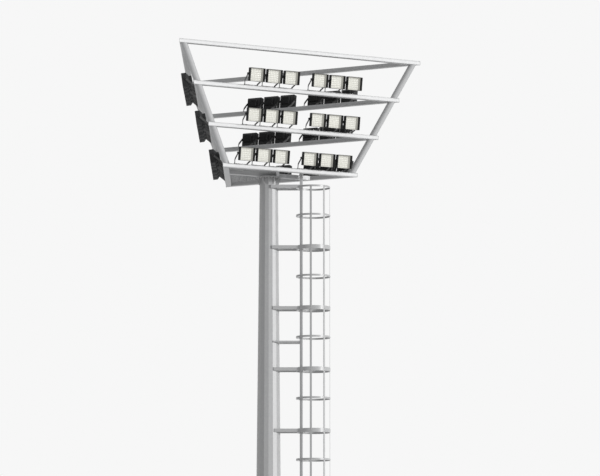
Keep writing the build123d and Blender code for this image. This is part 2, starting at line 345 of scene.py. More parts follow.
# prismatic front glass: warm white clouded with its shadow colour, finely grained under a clear
# coat, with a low glow that is painted light, lifting the shadow that the hood casts on the glass
def prismGlass(name, colour, shadow, paintedGlowColour, glow):
    tree = NodeTree(name)
    cloud = tree.noise(9.0, 2.0)
    tree.shade("Base Color", tree.mixed(tree.spread(cloud, 0.0, 0.5), colour, shadow))
    tree.shade("Roughness", tree.spread(cloud, 0.3, 0.42))
    tree.shade("Coat Weight", 0.25)
    tree.shade("Coat Roughness", 0.22)
    # painted light: the emission lifts the hood's shadow on the glass, though the lamp is not lit
    tree.shade("Emission Color", paintedGlowColour)
    tree.shade("Emission Strength", glow)
    tree.grained(500.0, 1.0, depth=0.0003, strength=0.2)
    return tree.material


# bright zinc on bolts and washers, darker in the hollows of its noise
def zincPlated(name, dark, light):
    tree = NodeTree(name)
    wear = tree.noise(60.0, 3.0)
    tree.shade("Base Color", tree.ramp(wear, (0.3, dark), (0.7, light)))
    tree.shade("Metallic", 0.7)
    tree.shade("Roughness", tree.spread(wear, 0.32, 0.5))
    tree.grained(300.0, 2.0, depth=0.0003, strength=0.3)
    return tree.material


finishes = {
    "mast_steel": galvanised("mast", shade=0.50, rough=0.40, spangle=0.030, streaks=0.10),
    "frame_steel": galvanised(
        "rail", shade=0.52, rough=0.41, spangle=0.022, streaks=0.06, gloss=0.70
    ),
    "grating_steel": galvanised("grating", shade=0.56, rough=0.42, spangle=0.010, streaks=0.05),
    "ladder_steel": galvanised("ladder", shade=0.52, rough=0.36, spangle=0.016, streaks=0.06),
    "yoke_steel": powderCoated(
        "yokeDarkCoat", colour=grey(0.070), dust=grey(0.110, 0.01), rough=0.36
    ),
    "lamp_housing": powderCoated(
        "housingCharcoalCoat", colour=grey(0.032, -0.03), dust=grey(0.050), rough=0.70, gloss=0.22
    ),
    "lamp_glass": prismGlass(
        "lampPrismGlass",
        colour=(0.60, 0.594, 0.538, 1),
        shadow=(0.52, 0.52, 0.478, 1),
        # painted light: this glow colour and strength lift the hood's shadow on the glass
        paintedGlowColour=(1.0, 0.985, 0.90, 1),
        glow=0.20,
    ),
    "bolts": zincPlated("boltZinc", dark=grey(0.30, 0.02), light=grey(0.52, 0.01)),
    "welds": galvanised("weld", shade=0.50, rough=0.45, spangle=0.008, streaks=0.04),
}
slots = {part["node"]: part["material_slot"] for part in frame["record"]["subparts"]}
for node, shape in frame["nodes"].items():
    shape.data.materials.clear()
    shape.data.materials.append(finishes[slots[node]])
print("finishes made")


# the floodlights: two banks to a row, and the bank's shift along each row of a face
tilts = [joint for joint in frame["joints"] if joint["name"].endswith("_tilt")]
lampRows = {
    "perBank": 3,
    "bankSpacing": 1.505,
    "lampPitch": 0.410,
    "shiftByRow": (-0.020, 0.080, 0.045),
    "restTilt": 8.0,
}


# placements of a row's lamps: steps along the row's own hinge line, turned about it by the tilt
def rowPlaces(joint, tilt):
    level = int(joint["name"].split("_")[2]) - 1
    along = np.array(joint["axis"], float)
    inward = np.cross((0, 0, 1.0), along)
    turn = math.radians(tilt)
    yAxis = inward * math.cos(turn) + np.array((0, 0, math.sin(turn)))
    zAxis = np.cross(along, yAxis)
    banks = np.repeat(centred(2), lampRows["perBank"]) * lampRows["bankSpacing"]
    within = np.tile(centred(lampRows["perBank"]), 2) * lampRows["lampPitch"]
    offsets = lampRows["shiftByRow"][level] + banks + within
    start = np.array(joint["pos_m"], float)
    return np.array([placed(along, yAxis, zAxis, start + along * offset) for offset in offsets])


housing = {
    "width": 0.345,
    "height": 0.280,
    "middle": -0.015,
    "front": -0.078,
    "hoodBack": 0.020,
    "shoulderBack": 0.066,
    "shoulderInset": 0.046,
    "corner": 0.012,
    "wall": 0.005,
    "recessFloor": 0.014,
    "rim": 0.0015,
    "groove": (-0.017, -0.012, 0.003),
    "boss": 0.0145,
    "bossLength": 0.0117,
    "screw": [(0.0045, -0.002), (0.0045, 0.0015), (0.0032, 0.0024)],
    "screwRises": (-0.07, 0.07),
    "screwSteps": (-0.1, 0, 0.1),
}


# an outline in x and z set at a depth
def atDepth(outline, depth, middle=0.0):
    return np.stack([outline[:, 0], np.full(len(outline), depth), outline[:, 1] + middle], axis=-1)


# the case: rounded rectangles from the back wall down the shoulders, along the hood and over its
# groove, round its rim and in to the floor; each row is a depth, how much narrower, and a corner
def caseSurface(sizes):
    wall, inset, corner = sizes["wall"], sizes["shoulderInset"], sizes["corner"]
    front, rim = sizes["front"], sizes["rim"]
    grooveFront, grooveBack, grooveDepth = sizes["groove"]
    sections = [
        (sizes["shoulderBack"], 2 * inset + 0.006, 0.008),
        (sizes["shoulderBack"] - 0.003, 2 * inset, 0.010),
        (sizes["hoodBack"] + 0.004, 0.008, corner),
        (sizes["hoodBack"], 0.0, corner),
        (grooveBack, 0.0, corner),
        (grooveBack - 0.001, grooveDepth, 0.011),
        (grooveFront + 0.001, grooveDepth, 0.011),
        (grooveFront, 0.0, corner),
        (front + rim, 0.0, corner),
        (front, 2 * rim, 0.010),
        (front, 2 * wall - rim, 0.009),
        (front + rim, 2 * wall, 0.008),
        (sizes["recessFloor"], 2 * wall, 0.008),
    ]
    stack = []
    for depth, less, radius in sections:
        outline = roundedOutline(sizes["width"] - less, sizes["height"] - less, radius)
        stack.append(atDepth(outline, depth, sizes["middle"]))
    return skinOver(stack)


gear = {
    "back": 0.130,
    "width": 0.204,
    "height": 0.150,
    "sunk": 0.004,
    "coreInset": 0.008,
    "coreCorner": 0.006,
    "fins": 12,
    "finThick": 0.0032,
    "finCorner": 0.007,
    "finInset": 0.006,
    "cover": 0.006,
}


# gear box: a core with upright fins that stand out from its top, back and foot, between two side
# covers; fins and covers are one rounded outline in y and z, set at steps along x
def gearSurface(sizes, body):
    start, middle, inset = body["shoulderBack"] - sizes["sunk"], body["middle"], sizes["coreInset"]
    wide, high = sizes["width"], sizes["height"]
    outline = roundedOutline(wide - inset, high - 2 * inset, sizes["coreCorner"], 2)
    ends = (sizes["back"] - inset, start)
    pieces = [skinOver([atDepth(outline, depth, middle) for depth in ends])]
    depth = sizes["back"] - start
    fin = roundedOutline(depth, high, sizes["finCorner"], 2) + (start + depth / 2, middle)
    reach = wide / 2 - sizes["cover"]
    last = reach - sizes["finInset"]
    plates = [(spot, sizes["finThick"]) for spot in np.linspace(-last, last, sizes["fins"])]
    plates += [(-reach, sizes["cover"]), (reach, sizes["cover"])]
    for spot, thick in plates:
        sides = [np.c_[np.full(len(fin), spot + side * thick / 2), fin] for side in (-1, 1)]
        pieces.append(skinOver(sides))
    return gathered(pieces)


# a turned clamp boss on each cheek, and cover screws square to the shoulders at half their depth
def cheekSurface(sizes):
    radius, length, middle = sizes["boss"], sizes["bossLength"], sizes["middle"]
    boss = turned([(radius, -0.004), (radius, length - 0.002), (radius - 0.002, length)], 20)
    cheeks = [pointing((side, 0, 0), (side * sizes["width"] / 2, 0, 0)) for side in (-1, 1)]
    screw = turned(sizes["screw"], 8)
    depth = sizes["hoodBack"] + sizes["shoulderInset"] / 2
    across = (sizes["width"] - sizes["shoulderInset"]) / 2
    rise = (sizes["height"] - sizes["shoulderInset"]) / 2
    spots = []
    for side in (-1, 1):
        for up in sizes["screwRises"]:
            spots.append(pointing((side, 1, 0), (side * across, depth, middle + up)))
    for side in (-1, 1):
        for step in sizes["screwSteps"]:
            spots.append(pointing((0, 1, side), (step, depth, middle + side * rise)))
    return gathered([repeated(boss, cheeks), repeated(screw, spots)])


lens = {
    "front": 0.0105,
    "back": 0.0136,
    "play": 0.0008,
    "corner": 0.0066,
    "edge": 0.014,
    "edgeCorner": 0.004,
    "edgeRise": 0.0035,
    "edgeTop": 0.0042,
    "across": 8,
    "down": 6,
    "bulge": 0.004,
    "pillow": ((0.46, 0.0), (0.42, 0.55), (0.30, 0.9), (0.12, 1.0)),
}


# the glass: a flat pane in a raised border, and a grid of shallow pillows, each a stack of blunt
# rectangles given as shares of the cell and of the bulge
def lensSurface(sizes, body):
    wide = body["width"] - 2 * body["wall"] - sizes["play"]
    high = body["height"] - 2 * body["wall"] - sizes["play"]
    openWide, openHigh = wide - 2 * sizes["edge"], high - 2 * sizes["edge"]
    outer = roundedOutline(wide, high, sizes["corner"], 2)
    inner = roundedOutline(openWide, openHigh, sizes["edgeCorner"], 2)
    shoulder, crest = sizes["front"] - sizes["edgeRise"], sizes["front"] - sizes["edgeTop"]
    rings = (outer, outer, outer * 0.996, inner * 1.004, inner, inner)
    depths = (sizes["back"], shoulder, crest, crest, shoulder, sizes["front"])
    pane = skinOver([atDepth(*step, body["middle"]) for step in zip(rings, depths)])
    cellWide, cellHigh = openWide / sizes["across"], openHigh / sizes["down"]
    pillow = []
    for share, lift in sizes["pillow"]:
        blunt = 0.3 * share * cellHigh
        outline = roundedOutline(2 * share * cellWide, 2 * share * cellHigh, blunt, 1)
        pillow.append(atDepth(outline, sizes["front"] - lift * sizes["bulge"]))
    columns = centred(sizes["across"]) * cellWide
    rows = centred(sizes["down"]) * cellHigh + body["middle"]
    spots = [moved(x, 0, z) for x in columns for z in rows]
    return gathered([pane, repeated(skinOver(pillow), spots)])


case = gathered([caseSurface(housing), gearSurface(gear, housing), cheekSurface(housing)])
glass = lensSurface(lens, housing)
for joint in tilts:
    face, _, row = joint["name"].split("_")[:3]
    places = rowPlaces(joint, lampRows["restTilt"])
    for kind, node, surface, slot in (
        ("Housings", "lamps", case, "lamp_housing"),
        ("Lenses", "glass", glass, "lamp_glass"),
    ):
        copies, stands = repeated(surface, places), [f"{face}_{node}_{row}"]
        addPiece(f"{face}{kind}{row}", copies, slot, stands, body=joint["child"])
print("floodlights made")


yoke = {
    "earX": 0.187,
    "thick": 0.005,
    "width": 0.040,
    "corner": 0.0018,
    "earAhead": 0.012,
    "elbow": (0.136, -0.112),
    "foot": (0.236, -0.197),
    "footX": 0.145,
    "drawIn": 0.45,
    "web": (0.330, 0.044, 0.006),
    "webEdge": 0.001,
    "webCorner": 0.010,
    "webBack": 0.236,
    "webDrop": 0.200,
    "knob": 0.0175,
    "knobLength": 0.021,
    "knobLobes": 6,
    "lobeDepth": 0.10,
    "screw": 0.012,
    "screwLength": 0.004,
    "setBolt": (0.0085, 0.0065, 0.011),
    "setBoltSteps": (-0.105, -0.045, 0.045, 0.105),
}


# one arm: a curve of second degree from the ear, through the elbow, to the foot, drawn in sideways
# to the web by a step that eases in and out
def armPath(sizes, side):
    t = np.linspace(0, 1, 19)
    elbow, foot = np.array(sizes["elbow"]), np.array(sizes["foot"])
    ear = elbow * -sizes["earAhead"] / np.linalg.norm(elbow)
    control = 2 * elbow - (ear + foot) / 2
    bow = (1 - t)[:, None] ** 2 * ear + (2 * t * (1 - t))[:, None] * control
    bow = bow + (t * t)[:, None] * foot
    ease = np.clip((t - sizes["drawIn"]) / (1 - sizes["drawIn"]), 0, 1)
    ease = ease * ease * (3 - 2 * ease)
    out = sizes["earX"] + (sizes["footX"] - sizes["earX"]) * ease
    return np.c_[side * out, bow]


# placement at an ear, with z pointing out of the yoke
def atEar(sizes, side):
    return pointing((side, 0, 0), (side * sizes["earX"], 0, 0))


# strap arms with round ends at the ears, on a web plate that lies along the rail
def yokeSurface(sizes):
    outline = roundedOutline(sizes["thick"], sizes["width"], sizes["corner"], 2)
    wide, flat = sizes["width"] / 2, sizes["thick"] / 2
    disc = [(wide - 0.002, -flat), (wide, -0.001), (wide, 0.001), (wide - 0.002, flat)]
    pieces = []
    for side in (-1, 1):
        pieces.append(carried(armPath(sizes, side), outline, (1, 0, 0)))
        pieces.append(repeated(turned(disc, 28), [atEar(sizes, side)]))
    web = softBlock(*sizes["web"], sizes["webEdge"], sizes["webCorner"])
    pieces.append(repeated(web, [moved(0, sizes["webBack"], -sizes["webDrop"])]))
    return gathered(pieces)


# a lobed clamp knob on a collar at one ear and a low six-sided screw head at the other; the knob's
# outline is a circle that swells with the cosine of its lobes
def earHardware(sizes):
    angle = np.arange(24) * math.pi / 12
    swell = 1 + sizes["lobeDepth"] * np.cos(sizes["knobLobes"] * angle)
    ring = circle(24) * swell[:, None] * sizes["knob"]
    start = sizes["thick"] / 2
    end = start + sizes["knobLength"]
    rises = (start, start + 0.005, start + 0.007, start + 0.009, end - 0.002, end)
    shares = (0.55, 0.55, 0.9, 1.0, 1.0, 0.85)
    knob = skinOver([raised(ring * share, rise) for share, rise in zip(shares, rises)])
    radius, top = sizes["screw"], start + sizes["screwLength"]
    head = turned([(radius, start), (radius, top - 0.001), (radius - 0.002, top)], 6)
    return gathered([repeated(knob, [atEar(sizes, -1)]), repeated(head, [atEar(sizes, 1)])])


# set bolts with washers in a line along the web
def webBolts(sizes):
    top = sizes["web"][2] - sizes["webDrop"]
    spots = [moved(along, sizes["webBack"], top) for along in sizes["setBoltSteps"]]
    return repeated(hexBolt(*sizes["setBolt"]), spots)


arms, knobs, setBolts = yokeSurface(yoke), earHardware(yoke), webBolts(yoke)
for face in ("front", "rear", "left"):
    ours = [joint for joint in tilts if joint["name"].startswith(face)]
    rows = np.concatenate([rowPlaces(joint, 0) for joint in ours])
    for kind, surface, finish, stands in (
        ("Arms", arms, "yoke_steel", [f"{face}_yokes"]),
        ("Knobs", knobs, "lamp_housing", ()),
        ("Bolts", setBolts, "bolts", ()),
    ):
        addPiece(f"{face}Yoke{kind}", repeated(surface, rows), "yoke_steel", stands, finish)
print("yokes made")


head = {
    "platformZ": 12.420,
    "rings": 4,
    "pitch": 0.795,
    "firstSide": 3.228,
    "sideStep": 0.843,
    "drift": 0.045,
    "depth": 0.120,
    "height": 0.085,
    "corner": 0.009,
    "crease": 25,
    "postRadius": 0.068,
    "mitreBead": 0.0035,
    "postBead": 0.005,
}
faceTurns = {"front": 300, "rear": 60, "left": 180}
cornerTurns = (240, 0, 120)
rootThree = math.sqrt(3)


# outer side of the triangle that a ring of rails makes
def ringSide(sizes, level):
    return sizes["firstSide"] + level * sizes["sideStep"]


# a point of a ring: so far out in a direction from its middle, which drifts as the rings rise
def ringSpot(sizes, turn, level, reach):
    out = outward(math.radians(turn))
    rise = sizes["platformZ"] + level * sizes["pitch"]
    return out, out * reach + (-level * sizes["drift"], 0, rise)


# placement of a rail's outer top edge: x along the rail, y inwards
def railPlace(sizes, turn, level):
    out, origin = ringSpot(sizes, turn, level, ringSide(sizes, level) / (2 * rootThree))
    return placed((-out[1], out[0], 0), -out, (0, 0, 1), origin)


# a hollow-section rail: rounded section, each corner of it running out to the mitre, which takes
# root three of length for each unit of depth
def railSurface(sizes, level):
    outline = roundedOutline(sizes["depth"], sizes["height"], sizes["corner"], 4)
    depth, rise = outline[:, 0] + sizes["depth"] / 2, outline[:, 1] - sizes["height"] / 2
    half = ringSide(sizes, level) / 2 - depth * rootThree
    return skinOver([np.stack([end * half, depth, rise], axis=-1) for end in (-1, 1)])


# the mitre weld: a bead over the top, down the outside and back under
def mitreBead(sizes, level):
    inner, high, edge = sizes["depth"] - 0.004, sizes["height"], 0.006
    loop = [(inner, 0), (edge, 0), (0, -edge), (0, edge - high), (edge, -high), (inner, -high)]
    half = ringSide(sizes, level) / 2
    points = [(half - depth * rootThree, depth, rise) for depth, rise in loop]
    return bead(points, sizes["mitreBead"], (0.5, -0.866, 0.0), 0.014)


# centre line of a corner post at a ring
def cornerSpot(sizes, turn, level):
    return ringSpot(sizes, turn, level, ringSide(sizes, level) / rootThree - sizes["depth"])[1]


# weld ring where a leaning post meets a rail: a circle stretched along the lean by the slope
def postRing(sizes, centre, slope):
    angle = np.linspace(0, 2 * math.pi, 33)
    radius = sizes["postRadius"] + 0.0015
    flat = np.stack([np.cos(angle), np.sin(angle), 0 * angle], axis=-1) * radius
    level = slope * (1, 1, 0)
    lean = level / np.linalg.norm(level)
    stretch = 1 / slope[2] - 1
    points = centre + flat + (flat @ lean)[:, None] * lean * stretch
    return bead(points, sizes["postBead"], (0, 0, 1), 0.016)


levels = range(head["rings"])
for face, turn in faceTurns.items():
    places = [[railPlace(head, turn, level)] for level in levels]
    rails = gathered([repeated(railSurface(head, level), places[level]) for level in levels])
    addPiece(f"{face}Rails", rails, "frame_steel", [f"{face}_rails"], crease=head["crease"])
    beads = gathered([repeated(mitreBead(head, level), places[level]) for level in levels])
    addPiece(f"{face}MitreWelds", beads, "frame_steel", finish="welds")

# each post has a ring on the rail below it and a ring under the rail above it
rings = []
weldLift = (0, 0, 0.002)
for turn in cornerTurns:
    run = cornerSpot(head, turn, levels[-1]) - cornerSpot(head, turn, 0)
    slope = run / np.linalg.norm(run)
    for level in levels:
        spot = cornerSpot(head, turn, level)
        if level < levels[-1]:
            rings.append(postRing(head, spot + weldLift, slope))
        if level > 0:
            under = spot - slope * head["height"] / slope[2]
            rings.append(postRing(head, under - weldLift, slope))
addPiece("postWelds", gathered(rings), "frame_steel", finish="welds")
print("head frame made")


floorMesh = {
    "beamTurn": 30.0,
    "strand": 0.0030,
    "pitch": 0.056,
    "lean": 24.0,
    "strandRise": 0.012,
    "strandDrop": 0.004,
    "edgeThick": 0.004,
    "inset": 0.001,
    "strandsEachWay": 60,
}


# corners of each grating panel in plan, in turn, split by the cross beam's line
def gratingPanels(node, beamTurn):
    corners = np.array([tuple(vertex.co) for vertex in frame["nodes"][node].data.vertices])
    top, foot = corners[:, 2].max(), corners[:, 2].min()
    plan = np.unique(corners[corners[:, 2] > top - 0.001][:, :2].round(4), axis=0)
    side = plan @ np.array((-math.sin(beamTurn), math.cos(beamTurn)))
    panels = []
    for part in (plan[side > 0], plan[side < 0]):
        centre = part.mean(axis=0)
        around = np.arctan2(part[:, 1] - centre[1], part[:, 0] - centre[0])
        panels.append(part[np.argsort(around)])
    return panels, top, foot


# the part of a line that lies inside a convex outline: each edge cuts it where the gap to the edge
# is used up, and a run under a centimetre is left out
def clippedRun(start, along, outline):
    low, high = -10.0, 10.0
    for first, second in zip(outline, np.roll(outline, -1, axis=0)):
        edge = second - first
        normal = np.array((edge[1], -edge[0]))
        gap, rate = normal @ (first - start), normal @ along
        if abs(rate) < 1e-9:
            if gap < 0:
                return None
        elif rate > 0:
            high = min(high, gap / rate)
        else:
            low = max(low, gap / rate)
    return (low, high) if high - low > 0.01 else None


# a flat bar on edge from one plan point to another
def barOnEdge(start, end, thick, foot, top):
    along = (end - start) / np.linalg.norm(end - start)
    side = np.array((-along[1], along[0])) * thick / 2
    ring = np.array([start - side, start + side, end + side, end - side])[::-1]
    return skinOver([raised(ring, rise) for rise in (foot, top)])


# expanded steel: two crossing families of strands make long diamonds, inside a frame of flat bar
def gratingSurface(sizes, outline, foot, top):
    bars = []
    centre = outline.mean(axis=0)
    outline = centre + (outline - centre) * (1 - sizes["inset"])
    strandFoot, strandTop = foot + sizes["strandRise"], top - sizes["strandDrop"]
    most = sizes["strandsEachWay"]
    for turn in (-sizes["lean"], sizes["lean"]):
        angle = math.radians(90 + turn)
        along = np.array((math.cos(angle), math.sin(angle)))
        across = np.array((-along[1], along[0]))
        for step in np.arange(-most, most + 1) * sizes["pitch"]:
            start = centre + across * step
            run = clippedRun(start, along, outline)
            if run:
                ends = start + along * run[0], start + along * run[1]
                bars.append(barOnEdge(*ends, sizes["strand"], strandFoot, strandTop))
    for first, second in zip(outline, np.roll(outline, -1, axis=0)):
        inward = np.array((first[1] - second[1], second[0] - first[0]))
        inward *= sizes["edgeThick"] / 2 / np.linalg.norm(inward)
        bars.append(barOnEdge(first + inward, second + inward, sizes["edgeThick"], foot, top))
    return gathered(bars)


beamTurn = math.radians(floorMesh["beamTurn"])
panels, floorTop, floorFoot = gratingPanels("platform_gratings", beamTurn)
floors = gathered([gratingSurface(floorMesh, panel, floorFoot, floorTop) for panel in panels])
addPiece("expandedFloor", floors, "grating_steel", ["platform_gratings"])
print("platform floor made")


cage = {
    "x": 0.930,
    "outer": 0.358,
    "thick": 0.006,
    "tall": 0.084,
    "plain": 0.040,
    "topZ": 12.116,
    "pitch": 1.280,
    "drop": 0.600,
    "count": 8,
    "straps": 5,
    "strapTurn": 49.0,
    "strapWidth": 0.042,
    "strapThick": 0.006,
    "strapGap": 0.0003,
    "edge": 0.0015,
    "bolt": [(0.0095, 0), (0.0092, 0.002), (0.0070, 0.0048), (0.0030, 0.0060)],
    "nut": (0.0085, 0.006, 0.0105),
    "tallBoltSteps": (-0.02, 0.02),
}
# tall hoops stand at the brackets, but for the top one, and plain ones between them
hoopLevels = []
for index in range(cage["count"]):
    height = cage["topZ"] - index * cage["pitch"]
    hoopLevels.append((height, cage["tall"] if index else cage["plain"]))
    hoopLevels.append((height - cage["drop"], cage["plain"]))


# a hoop of flat bar rolled round the cage's axis, from one angle to another, with rounded edges
def hoopArc(sizes, height, tall, start, sweep):
    angle = np.radians(start + np.linspace(0, sweep, max(4, int(sweep / 4)) + 1))
    middle = sizes["outer"] - sizes["thick"] / 2
    across, along = sizes["x"] + middle * np.cos(angle), middle * np.sin(angle)
    path = np.stack([across, along, np.full(len(angle), height)], axis=-1)
    return carried(path, roundedOutline(tall, sizes["thick"], sizes["edge"], 1), (0, 0, 1))


# an upright strap inside the hoops, square to the direction it stands in
def strapSurface(sizes, turn, foot, top):
    reach = sizes["outer"] - sizes["thick"] - sizes["strapThick"] / 2 - sizes["strapGap"]
    out = outward(turn)
    outline = roundedOutline(sizes["strapThick"], sizes["strapWidth"], sizes["edge"], 1)
    origin = out * reach + (sizes["x"], 0, 0)
    place = placed(out, (-out[1], out[0], 0), (0, 0, 1), origin)
    return repeated(skinOver([raised(outline, rise) for rise in (foot, top)]), [place])


frontTurn = cage["strapTurn"] * cage["straps"]
frontArcs = [hoopArc(cage, *level, -frontTurn / 2, frontTurn) for level in hoopLevels]
backArcs = [hoopArc(cage, *level, frontTurn / 2, 360 - frontTurn) for level in hoopLevels]
strapTurns = np.radians(centred(cage["straps"]) * cage["strapTurn"])
cageFoot = hoopLevels[-1][0] - cage["plain"] / 2
cageTop = cage["topZ"] + cage["plain"] / 2
straps = [strapSurface(cage, turn, cageFoot, cageTop) for turn in strapTurns]
wallParts = ("outer_panel", "front_panel", "rear_panel", "front_edge", "rear_edge")
for name, surfaces, stands in (
    ("cageHoops", frontArcs, [f"cage_{part}" for part in wallParts]),
    ("cageHoopBacks", backArcs, ["cage_ladder_arcs"]),
    ("cageStraps", straps, ()),
):
    addPiece(name, gathered(surfaces), "ladder_steel", stands)

# round-headed bolts through hoop and strap, two where the hoop is tall, each with a nut inside
heads, nuts = [], []
inside = cage["outer"] - cage["thick"] - cage["strapThick"]
for height, tall in hoopLevels:
    for turn in strapTurns:
        out = outward(turn)
        for rise in cage["tallBoltSteps"] if tall == cage["tall"] else (0,):
            spot = np.array((cage["x"], 0, height + rise))
            heads.append(pointing(out, spot + out * cage["outer"]))
            nuts.append(pointing(-out, spot + out * inside))
boltHeads = repeated(turned(cage["bolt"], 14), heads)
boltNuts = repeated(hexBolt(*cage["nut"]), nuts)
addPiece("cageBolts", gathered([boltHeads, boltNuts]), "ladder_steel", finish="bolts")

ladder = {
    "x": 0.682,
    "width": 0.440,
    "stile": (0.062, 0.020),
    "stileCorner": 0.0045,
    "stileTip": 0.003,
    "foot": 0.300,
    "rungPitch": 0.280,
    "rungMargin": 0.120,
    "rung": 0.026,
    "rungCorner": 0.004,
    "rungSunk": 0.001,
    "ribs": 9,
    "ribReach": 0.15,
    "rib": (0.018, 0.005, 0.0016),
    "collar": 0.003,
}


# stiles of rounded flat bar with softened tips
def stileSurface(sizes, top):
    deep, thick = sizes["stile"]
    foot, tip = sizes["foot"], sizes["stileTip"]
    stack = []
    for rise, inset in [(foot, tip), (foot + tip, 0), (top - tip, 0), (top, tip)]:
        corner = sizes["stileCorner"] - inset
        outline = roundedOutline(deep - 2 * inset, thick - 2 * inset, corner)
        stack.append(raised(outline, rise))
    half = (sizes["width"] - thick) / 2
    spots = [moved(sizes["x"], side * half, 0) for side in (-1, 1)]
    return repeated(skinOver(stack), spots)


# square rung with rounded edges, raised grip ridges on the tread and a weld collar at each stile
def rungSurface(sizes):
    reach = sizes["width"] / 2 - sizes["stile"][1] + sizes["rungSunk"]
    outline = roundedOutline(sizes["rung"], sizes["rung"], sizes["rungCorner"])
    bar = skinOver([atDepth(outline, y) for y in (reach, -reach)])
    spots = np.linspace(-sizes["ribReach"], sizes["ribReach"], sizes["ribs"])
    ridgeFoot = sizes["rung"] / 2 - 0.0003
    ridge = softBlock(*sizes["rib"], 0.0006, 0.0022, 1)
    ridges = repeated(ridge, [moved(0, y, ridgeFoot) for y in spots])
    half = sizes["rung"] / 2 + 0.001
    turns = [(1, 1), (1, -1), (-1, -1), (-1, 1), (1, 1)]
    square = [(half * across, 0, half * up) for across, up in turns]
    collar = bead(square, sizes["collar"], (0, 1, 0))
    atStile = reach - sizes["rungSunk"]
    collars = repeated(collar, [moved(0, side * atStile, 0) for side in (-1, 1)])
    return gathered([bar, ridges, collars])


ladderTop = head["platformZ"]
rungRun = ladderTop - ladder["foot"] - 2 * ladder["rungMargin"]
rungSteps = np.arange(int(rungRun / ladder["rungPitch"]) + 1)
rungRises = ladder["foot"] + ladder["rungMargin"] + rungSteps * ladder["rungPitch"]
rungPlaces = [moved(ladder["x"], 0, rise) for rise in rungRises]
climb = gathered([stileSurface(ladder, ladderTop), repeated(rungSurface(ladder), rungPlaces)])
addPiece("ladderStilesAndRungs", climb, "ladder_steel", ["ladder"])
print("ladder and cage made")


mast = {
    "sides": 16,
    "foot": 0.309,
    "top": 0.191,
    "footZ": 0.040,
    "topZ": 12.315,
    "ribs": 12,
    "ribThick": 0.014,
    "baseRib": (0.260, 0.432),
    "headRib": (0.150, 0.253),
    "ribBead": 0.0045,
    "ringBead": 0.0055,
    "seamBead": 0.0035,
    "seams": (11.25, 191.25),
    "anchorCircle": 0.390,
    "anchorNut": (0.0317, 0.029, 0.0360),
    "headCircle": 0.229,
    "headNut": (0.0185, 0.019, 0.0215, 0.010),
}


# distance from the axis to the folded wall in a direction, at a height
def wallReach(sizes, turn, height):
    share = (height - sizes["footZ"]) / (sizes["topZ"] - sizes["footZ"])
    corner = sizes["foot"] + (sizes["top"] - sizes["foot"]) * share
    fold = math.pi / sizes["sides"]
    return corner * math.cos(fold) / math.cos(turn % (2 * fold) - fold)


# fillets on both sides of a rib: up the wall, and along the plate that the rib stands on
def ribBeads(sizes, turn, plateZ, riseZ, reach):
    near, far = wallReach(sizes, turn, plateZ), wallReach(sizes, turn, riseZ)
    seat = plateZ + (0.0015 if riseZ > plateZ else -0.0015)
    beads = []
    for side in (-1, 1):
        y = side * (sizes["ribThick"] / 2 + 0.001)
        root = (near + 0.001, y, seat)
        beads.append(bead([(far + 0.001, y, riseZ), root], sizes["ribBead"], (1, 0, 0)))
        beads.append(bead([root, (reach - 0.002, y, seat)], sizes["ribBead"], (0, 0, 1)))
    return repeated(gathered(beads), [turnedAbout(turn)])


# a bead round the folded wall
def wallRing(sizes, height):
    angle = np.linspace(0, 2 * math.pi, sizes["sides"] + 1)
    corner = wallReach(sizes, 0.0, height) + 0.002
    around = [corner * np.cos(angle), corner * np.sin(angle), np.full(len(angle), height)]
    return bead(np.stack(around, axis=-1), sizes["ringBead"], (0, 0, 1), 0.016)


# the long weld of a folded shell, straight up one of its flats
def seamBead(sizes, turn):
    ends = (sizes["footZ"] + 0.01, sizes["topZ"] - 0.01)
    points = [(wallReach(sizes, turn, z) - 0.0008, 0, z) for z in ends]
    seam = bead(points, sizes["seamBead"], (0, 1, 0), 0.04)
    return repeated(seam, [turnedAbout(turn)])


ribTurns = np.radians(np.arange(mast["ribs"]) * 360 / mast["ribs"])
betweenRibs = ribTurns + ribTurns[1] / 2
footZ, topZ = mast["footZ"], mast["topZ"]
baseRise, baseReach = mast["baseRib"]
headDrop, headReach = mast["headRib"]
welds = [ribBeads(mast, turn, footZ, footZ + baseRise, baseReach) for turn in betweenRibs]
welds += [ribBeads(mast, turn, topZ, topZ - headDrop, headReach) for turn in ribTurns]
welds += [wallRing(mast, footZ + 0.002), wallRing(mast, topZ - 0.002)]
welds += [seamBead(mast, turn) for turn in np.radians(mast["seams"])]
addPiece("mastWelds", gathered(welds), "mast_steel", finish="welds")


# a nut on a washer with its threaded end; the ridges are whole rings, in and out by turns, close
# enough to read as a thread
def anchorNut(sizes):
    ridges = [(0.0178 - 0.0016 * (step % 2), 0.028 + 0.002 * step) for step in range(24)]
    thread = turned([(0.0150, 0.020), *ridges, (0.0150, 0.076)], 20)
    return gathered([hexBolt(*sizes["anchorNut"]), thread])


anchorSpot = moved(mast["anchorCircle"], 0, footZ)
headSpot = pointing((0, 0, -1), (mast["headCircle"], 0, topZ))
# each anchor nut is left at its own angle, as a spanner leaves it
anchorPlaces = [turnedAbout(turn) @ anchorSpot @ turnedAbout(7.0 * turn) for turn in ribTurns]
headPlaces = [turnedAbout(turn) @ headSpot for turn in betweenRibs]
anchorNuts = repeated(anchorNut(mast), anchorPlaces)
headNuts = repeated(hexBolt(*mast["headNut"]), headPlaces)
addPiece("anchorNuts", anchorNuts, "mast_steel", finish="bolts")
addPiece("headNuts", headNuts, "mast_steel", finish="bolts")

door = {
    "turn": -78.75,
    "sill": 0.620,
    "height": 0.420,
    "width": 0.086,
    "face": 0.006,
    "lock": [(0.0125, 0), (0.0125, 0.0022), (0.0115, 0.0030), (0.0070, 0.0030), (0.0070, 0.0010)],
    "lockX": 0.020,
    "lockInset": 0.060,
    "key": [(0.0048, 0.0010), (0.0048, 0.0042), (0.0040, 0.0048)],
    "hinge": (0.0045, 0.052),
    "hingeY": 0.13,
}


